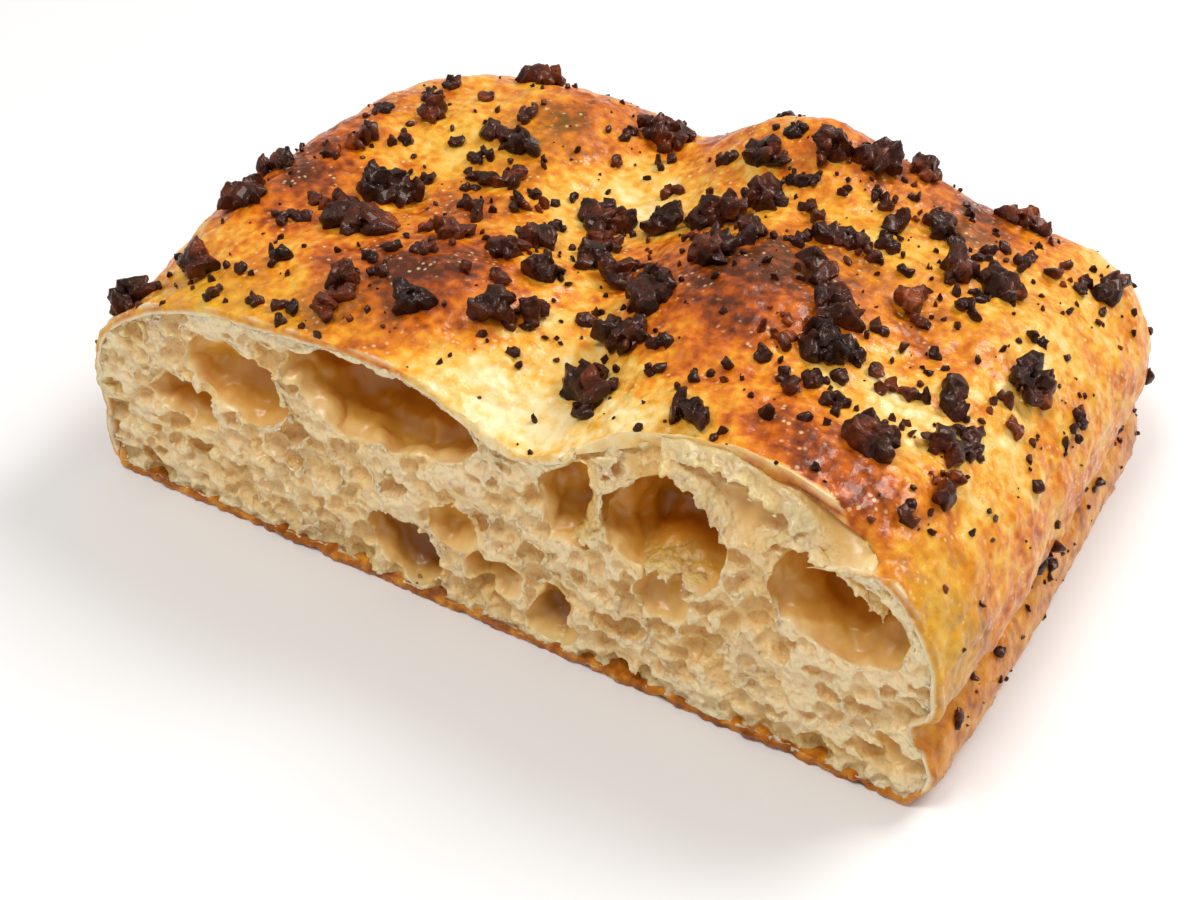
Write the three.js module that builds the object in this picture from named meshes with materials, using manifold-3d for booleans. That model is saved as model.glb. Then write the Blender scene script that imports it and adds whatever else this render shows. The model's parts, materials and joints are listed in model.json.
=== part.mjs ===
// A thick slab of focaccia, cut across once, with dark crumbs of topping baked onto its crust.
// Millimetres, +Z up. X runs along the cut face, which looks towards -Y. The origin is under the
// middle of the slab, on the surface that it stands on.
import * as THREE from "three";
import { mergeVertices } from "three/addons/utils/BufferGeometryUtils.js";
import Module from "manifold-3d";

const wasm = await Module();
wasm.setup();

// ---- Driving dimensions -------------------------------------------------------------------------

const slabLength = 146; // over the baked sides, at the middle of the slab's depth
const slabDepth = 101; // from the cut face to the baked back edge
const crownHeight = 38.5; // height of the crust away from its edges, before lobes and dimples
const wallHeight = 16; // height of the baked side walls, where the crust starts to roll over
const crustThickness = 1.8; // crust that the big bubbles leave above and around them
const baseThickness = 1.6; // crust that they leave under them

const leftRoll = 18; // how far in from each baked edge the crust reaches its full height
const rightRoll = 20;
const backRoll = 22;
const leftLipRoll = 36; // the same at the left end of the cut face, which slopes more gently
const leftLipReach = 26; // how far back from the cut face that slope fades into the left side
const rollPower = 1.85; // 2 rolls over as an ellipse, less makes a flatter slope
const leftCorner = 30; // radius of the back corners, in plan
const rightCorner = 20;
const sideBow = 2; // how far the sides bow out between their ends
const footTuck = 2.6; // how far the foot of the baked walls is rounded in
const rimHeight = 5; // height at which the fried rim is widest
const grooveHeight = 12; // height of the groove between the rim and the puffed crust
const grooveDepth = 1.5;
const grooveSpread = 3;
const edgeWave = 0.8; // how far the baked edges wander in and out

const lengthSteps = 36; // facets along, across and up the slab
const depthSteps = 26;
const wallSteps = 4;
const edgeCrowding = 0.6; // 0 spaces the facets evenly, 1 crowds them at the edges

const seatGap = 0.3; // clearance between a crumb of topping and the crust
const seatDepth = 0.35; // share of a crumb's height that the crust hides

// Lobes and dimples of the crust: across and back are shares of the half length and half depth,
// counted from the middle, and the spreads and the rise are millimetres.
const lobes = [
  { across: -0.22, back: -0.62, spreadX: 14, spreadY: 12, rise: 5 }, // lobe over the wide bubble
  { across: 0.32, back: -0.25, spreadX: 14, spreadY: 15, rise: 7.4 }, // main crown
  { across: 0.59, back: -0.8, spreadX: 12, spreadY: 9, rise: 4.6 }, // lobe at the front right
  { across: 0.19, back: 0.68, spreadX: 12, spreadY: 12, rise: 9 }, // back lobe
  { across: -0.4, back: 0.45, spreadX: 12, spreadY: 13, rise: 3.4 }, // back left lobe
  { across: 0.6, back: 0.28, spreadX: 13, spreadY: 12, rise: 2.6 }, // back right lobe
  { across: -0.76, back: 0, spreadX: 10, spreadY: 18, rise: 2.4 }, // left shoulder
  { across: 0.78, back: 0.5, spreadX: 13, spreadY: 13, rise: -4 }, // slope at the back right
  { across: 0.12, back: -0.95, spreadX: 7, spreadY: 12, rise: -6 }, // dimple at the cut face
  { across: 0.06, back: -0.4, spreadX: 6, spreadY: 12, rise: -3.4 }, // its valley, running back
  { across: -0.08, back: 0.1, spreadX: 8, spreadY: 12, rise: -3 },
  { across: -0.14, back: 0.62, spreadX: 7, spreadY: 12, rise: -3.4 },
  { across: -0.5, back: -0.12, spreadX: 6, spreadY: 8, rise: -1.5 },
  { across: 0.5, back: 0, spreadX: 7, spreadY: 6, rise: -1.6 },
];

// Big bubbles that the cut opens: across is a share of the half length and up a share of the crown
// height. The sizes are full widths in millimetres, along X, Y and Z, and tilt turns them about Y.
const bubbles = [
  { across: -0.19, up: 0.85, size: [35, 26, 15], tilt: 0 }, // wide one under the crust
  { across: -0.55, up: 0.69, size: [18, 15, 13], tilt: 18 },
  { across: -0.7, up: 0.5, size: [15, 14, 8], tilt: 8 },
  { across: 0.235, up: 0.73, size: [9.5, 15, 16], tilt: 8 },
  { across: 0.42, up: 0.72, size: [19.5, 24, 15], tilt: 12 },
  { across: 0.42, up: 0.45, size: [9, 10, 6.5], tilt: 14 },
  { across: 0.76, up: 0.71, size: [22, 20, 13], tilt: 14 },
  { across: -0.16, up: 0.2, size: [13, 13, 12], tilt: 20 }, // on the base crust
  { across: -0.04, up: 0.42, size: [9, 10, 9], tilt: 10 },
  { across: 0.05, up: 0.25, size: [10, 12, 7.5], tilt: 0 },
  { across: 0.18, up: 0.18, size: [8.5, 11, 11], tilt: -12 },
  { across: 0.88, up: 0.22, size: [8, 8, 3.5], tilt: 40 },
];

// Where the crust tore back from the cut face, given like a bubble.
const tear = { across: 0.5, up: 1.12, size: [52, 9, 20], tilt: 4 };

// Crumbs of topping: across and back as for the lobes. The sizes are full widths in millimetres,
// along X, Y and up from the crust, and turn is in degrees about the crust's normal.
const crumbs = [
  { across: -0.56, back: -0.2, size: [13, 10, 4.5], turn: 10 },
  { across: -0.52, back: -0.43, size: [14, 8, 4.5], turn: -20 },
  { across: -0.8, back: -0.47, size: [7, 9, 4], turn: 30 },
  { across: -0.83, back: -0.24, size: [6, 8, 4], turn: 20 },
  { across: -0.74, back: -0.8, size: [9, 6, 5], turn: -25 },
  { across: -0.86, back: -0.92, size: [7, 6, 6], turn: 0 },
  { across: -0.58, back: -0.72, size: [4.5, 6, 2.5], turn: 15 },
  { across: -0.36, back: -0.88, size: [6, 5, 3], turn: 40 },
  { across: -0.38, back: -0.74, size: [6, 4, 3], turn: 0 },
  { across: -0.22, back: -0.75, size: [7.5, 5, 3], turn: -15 },
  { across: -0.08, back: -0.67, size: [5, 7, 4.5], turn: 0 },
  { across: -0.02, back: -0.59, size: [4, 4.5, 3], turn: 0 },
  { across: -0.3, back: -0.39, size: [6, 6.5, 3], turn: 20 },
  { across: -0.17, back: -0.39, size: [6, 8, 4], turn: 20 },
  { across: -0.08, back: -0.4, size: [5, 7, 4], turn: 0 },
  { across: -0.16, back: -0.24, size: [5, 6.5, 4], turn: 15 },
  { across: -0.03, back: -0.23, size: [5, 6, 4], turn: 10 },
  { across: 0.04, back: -0.26, size: [4.5, 7.5, 4], turn: 15 },
  { across: -0.35, back: -0.18, size: [12, 3.5, 3], turn: -40 },
  { across: -0.28, back: -0.09, size: [4, 5, 3], turn: 10 },
  { across: -0.42, back: 0.01, size: [9, 3, 2.5], turn: -10 },
  { across: -0.34, back: 0.05, size: [5, 5, 3], turn: 0 },
  { across: -0.11, back: 0.04, size: [9, 8, 5], turn: 20 },
  { across: -0.05, back: -0.1, size: [8, 5, 4], turn: -20 },
  { across: 0.02, back: 0.09, size: [8, 7, 5], turn: 0 },
  { across: -0.7, back: -0.05, size: [4, 9, 3.5], turn: 0 },
  { across: -0.43, back: 0.2, size: [12, 5, 3.5], turn: -10 },
  { across: -0.64, back: 0.22, size: [6, 5, 3.5], turn: -20 },
  { across: -0.18, back: 0.6, size: [11, 9, 5], turn: 20 },
  { across: 0.13, back: 0.12, size: [9, 8, 5], turn: 15 },
  { across: 0.19, back: 0.24, size: [7, 7, 5], turn: 0 },
  { across: 0.25, back: -0.04, size: [5, 8, 4], turn: 10 },
  { across: 0.22, back: -0.19, size: [7, 8, 4.5], turn: 20 },
  { across: 0.13, back: 0.44, size: [8, 6, 4], turn: -20 },
  { across: 0.25, back: 0.51, size: [6, 7, 4.5], turn: -15 },
  { across: 0.35, back: 0.57, size: [7, 7, 5], turn: 0 },
  { across: 0.42, back: 0.68, size: [5, 8, 5], turn: 10 },
  { across: 0.46, back: 0.31, size: [4, 7, 4], turn: 0 },
  { across: 0.54, back: 0.43, size: [4, 8, 4], turn: 10 },
  { across: 0.62, back: 0.21, size: [5, 6, 4], turn: 0 },
  { across: 0.71, back: 0.25, size: [8, 8, 3], turn: 0 },
  { across: 0.4, back: 0.13, size: [9, 4, 3], turn: 10 },
  { across: 0.41, back: -0.1, size: [4.5, 6, 3], turn: 15 },
  { across: 0.59, back: -0.02, size: [5, 5, 4], turn: 0 },
  { across: 0.5, back: -0.24, size: [8, 8, 4], turn: 20 },
  { across: 0.53, back: -0.4, size: [8, 7, 4], turn: 10 },
  { across: 0.76, back: -0.33, size: [4.5, 9, 4], turn: 10 },
  { across: 0.85, back: -0.08, size: [7, 10, 4], turn: 20 },
  { across: 0.8, back: -0.53, size: [8, 4.5, 3.5], turn: 10 },
  { across: 0.84, back: -0.64, size: [4, 7, 3], turn: 10 },
  { across: 0.71, back: -0.66, size: [8.5, 9, 4], turn: 0 },
  { across: 0.41, back: -0.81, size: [7, 4.5, 3], turn: -20 },
  { across: 0.17, back: -0.38, size: [7, 10, 4.5], turn: 15 },
  { across: 0.18, back: -0.56, size: [8, 7, 4.5], turn: 0 },
  { across: 0.18, back: -0.73, size: [11, 7, 4.5], turn: 0 },
  { across: 0.87, back: 0.6, size: [3.5, 8, 4], turn: 0 },
  { across: -0.55, back: 0.66, size: [9, 7, 4], turn: 20 },
  { across: 0.05, back: 0.82, size: [10, 6, 4.5], turn: 0 },
  { across: 0.66, back: 0.72, size: [8, 7, 4], turn: -30 },
];

const crustColour = 0xd79a45;
const toppingColour = 0x2c1410;

// ---- The slab -----------------------------------------------------------------------------------

const halfLength = slabLength / 2;
const halfDepth = slabDepth / 2;

const clamp = (value, low, high) => Math.min(high, Math.max(low, value));
const mix = (a, b, share) => a + (b - a) * share;
const smoothstep = (low, high, value) => {
  const t = clamp((value - low) / (high - low), 0, 1);
  return t * t * (3 - 2 * t);
};

const cornerAt = (x) => (x < 0 ? leftCorner : rightCorner);

// How far a point is inside the baked edges, all but the cut face, before the sides are bowed.
function insetFromBakedEdge(x, y) {
  const radius = cornerAt(x);
  const qx = Math.abs(x) - (halfLength - radius);
  const qy = y - (halfDepth - radius);
  const outside = Math.hypot(Math.max(qx, 0), Math.max(qy, 0));
  return radius - outside - Math.min(Math.max(qx, qy), 0);
}

// How far the crust has rolled up from the wall towards its full height, 0 to 1.
function rollShare(x, y) {
  const left = mix(leftLipRoll, leftRoll, smoothstep(-halfDepth, -halfDepth + leftLipReach, y));
  const side = mix(left, rightRoll, smoothstep(-halfLength, halfLength, x));
  const towardsBack = smoothstep(0, halfDepth, y - Math.abs(x) + halfLength - halfDepth / 2);
  const t = clamp(insetFromBakedEdge(x, y) / mix(side, backRoll, towardsBack), 0, 1);
  return (1 - (1 - t) ** rollPower) ** (1 / rollPower);
}

function crustHeight(x, y) {
  let full = crownHeight;
  for (const { across, back, spreadX, spreadY, rise } of lobes) {
    const dx = (x - across * halfLength) / spreadX;
    const dy = (y - back * halfDepth) / spreadY;
    full += rise * Math.exp(-(dx * dx + dy * dy) / 2);
  }
  return wallHeight + (full - wallHeight) * rollShare(x, y);
}

// How far the baked wall lies inside the plan's outline at a height: a rounded foot, then a fried
// rim, then a groove under the puffed crust.
function wallInset(z) {
  const foot = footTuck * (1 - Math.sqrt(clamp(z / rimHeight, 0, 1)));
  const groove = grooveDepth * Math.exp(-(((z - grooveHeight) / grooveSpread) ** 2));
  return foot + groove;
}

// Pulls a point of the square plan into the rounded back corners.
function intoCorner(x, y) {
  const radius = cornerAt(x);
  const dx = Math.abs(x) - (halfLength - radius);
  const dy = y - (halfDepth - radius);
  if (dx <= 0 || dy <= 0) return [x, y];
  const pull = Math.max(dx, dy) / Math.hypot(dx, dy);
  return [Math.sign(x) * (halfLength - radius + dx * pull), halfDepth - radius + dy * pull];
}

const bowed = (x, y) => x * (1 - (sideBow / halfLength) * (y / halfDepth) ** 2);

const crowd = (share) => mix(share, Math.sin((share * Math.PI) / 2), edgeCrowding);

// The slab's outer surface moved in by a skin at the top and the walls and by a floor at the base.
// The cut face stays where it is, so only the back crowds its facets along Y.
function slabGeometry(skin, floor) {
  const box = new THREE.BoxGeometry(2, 2, 1, lengthSteps, depthSteps, wallSteps);
  box.deleteAttribute("normal");
  box.deleteAttribute("uv");
  const geometry = mergeVertices(box);
  const place = geometry.getAttribute("position");
  for (let i = 0; i < place.count; i++) {
    const across = crowd(place.getX(i));
    const back = 2 * crowd((place.getY(i) + 1) / 2) - 1;
    const [x, y] = intoCorner(across * halfLength, back * halfDepth);
    const z = mix(floor, crustHeight(x, y) - skin, place.getZ(i) + 0.5);
    const wallShare = 1 - clamp(insetFromBakedEdge(x, y) / rimHeight, 0, 1);
    const wave = edgeWave * (1 + Math.sin(x / 9 + 1) * Math.cos(y / 11));
    const inset = skin + wallShare * (wallInset(z) + wave);
    const moved = 1 - inset / halfDepth;
    place.setXYZ(i, bowed(x, y) * (1 - inset / halfLength), y > 0 ? y * moved : y, z);
  }
  return geometry;
}

// ---- Solids -------------------------------------------------------------------------------------

function toSolid(geometry) {
  return new wasm.Manifold(
    new wasm.Mesh({
      numProp: 3,
      vertProperties: geometry.getAttribute("position").array,
      triVerts: new Uint32Array(geometry.index.array),
    }),
  );
}

function toGeometry(solid) {
  const mesh = solid.getMesh();
  const geometry = new THREE.BufferGeometry();
  geometry.setAttribute("position", new THREE.BufferAttribute(mesh.vertProperties, 3));
  geometry.setIndex(new THREE.BufferAttribute(mesh.triVerts, 1));
  geometry.computeVertexNormals();
  return geometry;
}

// A round lump of the given full widths, dented in and out by a share of its radius.
function lumpGeometry(size, detail, dent, seed) {
  const ball = new THREE.IcosahedronGeometry(1, detail);
  ball.deleteAttribute("normal");
  ball.deleteAttribute("uv");
  const geometry = mergeVertices(ball, 1e-3);
  const place = geometry.getAttribute("position");
  const point = new THREE.Vector3();
  for (let i = 0; i < place.count; i++) {
    point.fromBufferAttribute(place, i);
    const swell =
      Math.sin(3.1 * point.x + seed) * Math.sin(2.7 * point.y + 2 * seed) +
      Math.sin(4.3 * point.z + 3 * seed) * Math.cos(3.7 * point.x - seed);
    point.multiplyScalar(1 + (dent * swell) / 2);
    place.setXYZ(i, (point.x * size[0]) / 2, (point.y * size[1]) / 2, (point.z * size[2]) / 2);
  }
  return geometry;
}

const bubbleFacet = 3.6; // width of a bubble's facets, in millimetres
const bubbleDent = 0.14;
const bubbleBehindCut = 0.08; // share of a bubble's depth that its middle lies behind the cut

function bubbleSolid({ across, up, size, tilt }, seed) {
  const detail = Math.round(Math.sqrt(size[0] * size[2]) / 2 / bubbleFacet) + 1;
  const geometry = lumpGeometry(size, Math.min(detail, 4), bubbleDent, seed);
  geometry.rotateY(THREE.MathUtils.degToRad(tilt));
  geometry.translate(
    across * halfLength,
    -halfDepth + bubbleBehindCut * size[1],
    up * crownHeight,
  );
  return toSolid(geometry);
}

function makeSlab() {
  const whole = toSolid(slabGeometry(0, 0));
  const overhang = slabDepth; // carries the crumb region out past the cut face
  const inner = slabGeometry(crustThickness, baseThickness);
  const place = inner.getAttribute("position");
  for (let i = 0; i < place.count; i++) {
    if (place.getY(i) < -halfDepth + 1e-3) place.setY(i, -halfDepth - overhang);
  }
  const crumbRegion = toSolid(inner);
  const open = bubbles.map((bubble, i) => bubbleSolid(bubble, i + 1));
  const opened = wasm.Manifold.union(open).intersect(crumbRegion);
  return whole.subtract(opened).subtract(bubbleSolid(tear, 0));
}

// ---- The topping --------------------------------------------------------------------------------

const crumbDetail = 1;
const crumbDent = 0.3;
const crumbGap = 0.35; // clearance between two crumbs

function crustNormal(x, y) {
  const reach = 1;
  const slopeX = (crustHeight(x + reach, y) - crustHeight(x - reach, y)) / (2 * reach);
  const slopeY = (crustHeight(x, y + reach) - crustHeight(x, y - reach)) / (2 * reach);
  return new THREE.Vector3(-slopeX, -slopeY, 1).normalize();
}

// A crumb's lump where it lies, half sunk into the crust, grown all round by a margin.
function crumbLump({ across, back, size, turn }, seed, margin) {
  const x = across * halfLength;
  const y = back * halfDepth;
  const normal = crustNormal(x, y);
  const stand = new THREE.Quaternion().setFromUnitVectors(new THREE.Vector3(0, 0, 1), normal);
  const grown = size.map((width) => width * (1 + (2 * margin) / Math.min(...size)));
  const geometry = lumpGeometry(grown, crumbDetail, crumbDent, seed);
  geometry.rotateZ(THREE.MathUtils.degToRad(turn));
  geometry.applyQuaternion(stand);
  const lift = size[2] * (0.5 - seatDepth) + seatGap;
  const seat = new THREE.Vector3(bowed(x, y), y, crustHeight(x, y)).addScaledVector(normal, lift);
  geometry.translate(seat.x, seat.y, seat.z);
  return { lump: toSolid(geometry), gap: normal.multiplyScalar(seatGap).toArray() };
}

// Lays the crumbs one by one, each cut back from the slab and from the crumbs already there.
function layCrumbs(slab) {
  let taken = null;
  return crumbs.map((crumb, i) => {
    const { lump, gap } = crumbLump(crumb, i + 1, 0);
    const seated = lump.subtract(slab.translate(gap));
    const pieces = (taken ? seated.subtract(taken) : seated).decompose();
    const room = crumbLump(crumb, i + 1, crumbGap).lump;
    taken = taken ? taken.add(room) : room;
    return pieces.reduce((a, b) => (a.volume() > b.volume() ? a : b));
  });
}

// ---- Assembly -----------------------------------------------------------------------------------

const crust = new THREE.MeshStandardMaterial({ color: crustColour, roughness: 0.5, metalness: 0 });
const topping = new THREE.MeshStandardMaterial({ color: toppingColour, roughness: 0.35, metalness: 0 });

const focaccia = new THREE.Group();

const slabSolid = makeSlab();
const slabMesh = new THREE.Mesh(toGeometry(slabSolid), crust);
slabMesh.name = "focaccia_slab";
focaccia.add(slabMesh);

layCrumbs(slabSolid).forEach((crumb, i) => {
  const mesh = new THREE.Mesh(toGeometry(crumb), topping);
  mesh.name = `topping_crumb_${String(i + 1).padStart(2, "0")}`;
  focaccia.add(mesh);
});

export default focaccia;
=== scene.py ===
"""A thick piece of focaccia, cut across once, with dark crumbs of topping on its oiled crust."""
import json
import logging
import math
import random
from dataclasses import dataclass, field
from enum import Enum

import bpy
import numpy as np
from mathutils import Euler, Matrix, Vector, noise

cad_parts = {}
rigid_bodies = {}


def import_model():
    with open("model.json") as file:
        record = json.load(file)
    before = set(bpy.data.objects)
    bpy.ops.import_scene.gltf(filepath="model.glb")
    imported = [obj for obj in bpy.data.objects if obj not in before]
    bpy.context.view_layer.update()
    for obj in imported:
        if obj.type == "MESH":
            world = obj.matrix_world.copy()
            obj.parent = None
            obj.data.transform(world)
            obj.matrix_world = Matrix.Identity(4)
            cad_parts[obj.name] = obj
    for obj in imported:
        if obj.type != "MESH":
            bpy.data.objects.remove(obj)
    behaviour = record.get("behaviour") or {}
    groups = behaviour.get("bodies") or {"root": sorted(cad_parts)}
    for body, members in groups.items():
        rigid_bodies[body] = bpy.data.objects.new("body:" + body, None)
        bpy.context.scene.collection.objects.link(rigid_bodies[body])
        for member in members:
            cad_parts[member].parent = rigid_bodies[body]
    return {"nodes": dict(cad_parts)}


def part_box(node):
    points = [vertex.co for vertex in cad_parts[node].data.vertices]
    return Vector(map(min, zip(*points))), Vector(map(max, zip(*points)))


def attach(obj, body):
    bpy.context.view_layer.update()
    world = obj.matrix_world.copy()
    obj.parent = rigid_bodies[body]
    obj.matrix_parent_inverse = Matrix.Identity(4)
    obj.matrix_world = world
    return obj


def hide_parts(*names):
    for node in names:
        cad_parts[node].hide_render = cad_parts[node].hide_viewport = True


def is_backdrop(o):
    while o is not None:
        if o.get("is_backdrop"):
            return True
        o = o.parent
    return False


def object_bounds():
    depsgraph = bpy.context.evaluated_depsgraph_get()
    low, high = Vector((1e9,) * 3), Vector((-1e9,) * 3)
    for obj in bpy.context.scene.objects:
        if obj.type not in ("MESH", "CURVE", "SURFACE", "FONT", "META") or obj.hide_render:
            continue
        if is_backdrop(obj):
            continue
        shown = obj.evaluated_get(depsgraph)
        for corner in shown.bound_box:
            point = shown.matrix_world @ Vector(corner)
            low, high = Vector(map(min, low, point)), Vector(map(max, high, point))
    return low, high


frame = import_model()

LOG = logging.getLogger("focaccia")

MM = 0.001
ROOT = "root"
SLAB_NODE = "focaccia_slab"
CRUMB_NODES = sorted(name for name in frame["nodes"] if name.startswith("topping_crumb_"))
CAD_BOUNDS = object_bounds()
SLAB_LOW, SLAB_HIGH = (Vector(corner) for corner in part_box(SLAB_NODE))
CUT = SLAB_LOW.y  # the plane of the cut face


# ---- Bench tools --------------------------------------------------------------------------------


def only(piece: bpy.types.Object) -> None:
    """Selects one piece and nothing else.

    Args:
        piece: The piece that the next operators act on.
    """
    bpy.ops.object.select_all(action="DESELECT")
    piece.select_set(True)
    bpy.context.view_layer.objects.active = piece


def named(name: str) -> bpy.types.Object:
    """Names the piece that was just added, and its mesh, and returns it."""
    piece = bpy.context.object
    piece.name = piece.data.name = name
    return piece


def applied(piece: bpy.types.Object, kind: str, **settings: object) -> bpy.types.Object:
    """Adds a modifier, sets it and applies it.

    Args:
        piece: The piece to change.
        kind: The modifier's type.
        **settings: Its properties.

    Returns:
        The same piece.
    """
    only(piece)
    modifier = piece.modifiers.new(kind.lower(), kind)
    for key, value in settings.items():
        setattr(modifier, key, value)
    bpy.ops.object.modifier_apply(modifier=modifier.name)
    return piece


def remeshed(piece: bpy.types.Object, voxel: float) -> bpy.types.Object:
    """Rebuilds a closed mesh as even facets of one voxel, in metres."""
    return applied(piece, "REMESH", mode="VOXEL", voxel_size=voxel, adaptivity=0.0)


def smoothed(piece: bpy.types.Object, rounds: int, factor: float = 0.5) -> bpy.types.Object:
    """Evens a mesh out by a number of rounds."""
    return applied(piece, "SMOOTH", iterations=rounds, factor=factor)


def cut(piece: bpy.types.Object, tool: bpy.types.Object, how: str) -> bpy.types.Object:
    """Cuts, joins or trims one solid with another.

    Args:
        piece: The solid that stays.
        tool: The solid that acts on it, which is left as it is.
        how: DIFFERENCE, UNION or INTERSECT.

    Returns:
        The changed piece.
    """
    return applied(piece, "BOOLEAN", operation=how, solver="MANIFOLD", object=tool)


def copied(source: bpy.types.Object, name: str, shift: Vector = Vector()) -> bpy.types.Object:
    """Copies a piece with its own mesh.

    Args:
        source: The piece to copy.
        name: The copy's name.
        shift: How far the copy's mesh is moved, in metres.

    Returns:
        The copy, at the origin.
    """
    piece = source.copy()
    piece.data = source.data.copy()
    piece.name = piece.data.name = name
    piece.parent = None
    piece.matrix_world = Matrix()
    piece.data.transform(Matrix.Translation(shift))
    bpy.context.scene.collection.objects.link(piece)
    return piece


def merged_copy(node: str, name: str) -> bpy.types.Object:
    """Copies a CAD node and merges its loose facets into one closed mesh."""
    piece = copied(frame["nodes"][node], name)
    piece.data.materials.clear()
    only(piece)
    bpy.ops.object.mode_set(mode="EDIT")
    bpy.ops.mesh.select_all(action="SELECT")
    bpy.ops.mesh.remove_doubles(threshold=1e-6)
    bpy.ops.object.mode_set(mode="OBJECT")
    return piece


def discard(*pieces: bpy.types.Object) -> None:
    """Deletes shapes that were only tools."""
    for piece in pieces:
        mesh = piece.data
        bpy.data.objects.remove(piece)
        bpy.data.meshes.remove(mesh)


def points_of(piece: bpy.types.Object) -> np.ndarray:
    """Returns the places of a mesh's points, in metres, one row each."""
    flat = np.empty(len(piece.data.vertices) * 3)
    piece.data.vertices.foreach_get("co", flat)
    return flat.reshape(-1, 3)


def normals_of(piece: bpy.types.Object) -> np.ndarray:
    """Returns a mesh's point normals, one row each."""
    flat = np.empty(len(piece.data.vertices) * 3)
    piece.data.vertex_normals.foreach_get("vector", flat)
    return flat.reshape(-1, 3)


def move_points(piece: bpy.types.Object, places: np.ndarray) -> None:
    """Puts a mesh's points in new places."""
    piece.data.vertices.foreach_set("co", places.astype(np.float32).ravel())
    piece.data.update()


def weigh(piece: bpy.types.Object, name: str, weights: np.ndarray) -> None:
    """Writes a vertex group, in steps of a twentieth.

    Args:
        piece: The piece that gets the group.
        name: The group's name.
        weights: One number from 0 to 1 for each point.
    """
    group = piece.vertex_groups.get(name) or piece.vertex_groups.new(name=name)
    steps = np.rint(np.clip(weights, 0, 1) * 20).astype(int)
    for step in np.unique(steps):
        group.add(np.flatnonzero(steps == step).tolist(), float(step) / 20, "REPLACE")


def painted(piece: bpy.types.Object, name: str, values: np.ndarray) -> None:
    """Writes one number for each point as an attribute that the materials read."""
    layer = piece.data.attributes.get(name) or piece.data.attributes.new(name, "FLOAT", "POINT")
    layer.data.foreach_set("value", values.astype(np.float32))


def numbers_of(piece: bpy.types.Object, name: str) -> np.ndarray:
    """Returns the numbers painted on a mesh's points."""
    values = np.empty(len(piece.data.vertices), np.float32)
    piece.data.attributes[name].data.foreach_get("value", values)
    return values


def step_between(low: float, high: float, values: np.ndarray) -> np.ndarray:
    """Returns 0 below low, 1 above high and a smooth rise between."""
    share = np.clip((values - low) / (high - low), 0, 1)
    return share * share * (3 - 2 * share)


def mesh_from(name: str, points: np.ndarray, faces: np.ndarray) -> bpy.types.Object:
    """Makes an object at the origin from points and triangles."""
    mesh = bpy.data.meshes.new(name)
    mesh.from_pydata(points.tolist(), [], faces.tolist())
    mesh.validate()
    piece = bpy.data.objects.new(name, mesh)
    bpy.context.scene.collection.objects.link(piece)
    return piece


def thinned(piece: bpy.types.Object, triangles: int, keep: str = "") -> bpy.types.Object:
    """Decimates a mesh to about a number of triangles.

    Args:
        piece: The piece to thin.
        triangles: How many triangles it may keep.
        keep: The vertex group whose light points lose the most facets.

    Returns:
        The same piece.
    """
    now = sum(len(face.vertices) - 2 for face in piece.data.polygons)
    if now <= triangles:
        return piece
    settings = {"ratio": triangles / now}
    if keep:
        settings.update(vertex_group=keep, vertex_group_factor=1.0, invert_vertex_group=True)
    return applied(piece, "DECIMATE", **settings)


def block(name: str, low: Vector, high: Vector) -> bpy.types.Object:
    """Makes a box between two corners, in metres."""
    bpy.ops.mesh.primitive_cube_add(size=1)
    piece = named(name)
    places = points_of(piece) + 0.5
    move_points(piece, np.array(low) + places * (np.array(high) - np.array(low)))
    return piece


def strewn(name: str, shapes: list[bpy.types.Object], spots: list[Matrix]) -> bpy.types.Object:
    """Copies a few shapes to many places and joins the copies into one piece.

    Args:
        name: The joined piece's name.
        shapes: The shapes, taken in turn.
        spots: Where each copy goes, turned and scaled.

    Returns:
        The piece, at the origin.
    """
    pieces = []
    for i, spot in enumerate(spots):
        piece = copied(shapes[i % len(shapes)], name)
        piece.data.transform(spot)
        pieces.append(piece)
    bpy.ops.object.select_all(action="DESELECT")
    for piece in pieces:
        piece.select_set(True)
    bpy.context.view_layer.objects.active = pieces[0]
    if len(pieces) > 1:
        bpy.ops.object.join()
    return named(name)


def closed_faces(piece: bpy.types.Object) -> int:
    """Returns how many facets a piece has, as triangles."""
    return sum(len(face.vertices) - 2 for face in piece.data.polygons)


def keep_body(piece: bpy.types.Object) -> None:
    """Deletes every loose scrap of a mesh that isn't joined to its rearmost point."""
    only(piece)
    rearmost = int(points_of(piece)[:, 1].argmax())
    bpy.ops.object.mode_set(mode="EDIT")
    bpy.ops.mesh.select_mode(type="VERT")
    bpy.ops.mesh.select_all(action="DESELECT")
    bpy.ops.object.mode_set(mode="OBJECT")
    piece.data.vertices[rearmost].select = True
    bpy.ops.object.mode_set(mode="EDIT")
    bpy.ops.mesh.select_linked()
    bpy.ops.mesh.select_all(action="INVERT")
    bpy.ops.mesh.delete(type="VERT")
    bpy.ops.object.mode_set(mode="OBJECT")


class Grain(Enum):
    """The kinds of relief that a surface can be given."""

    LUMPS = "CLOUDS"
    CELLS = "VORONOI"
    FOLDS = "STUCCI"
    RIDGES = "MUSGRAVE"


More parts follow.
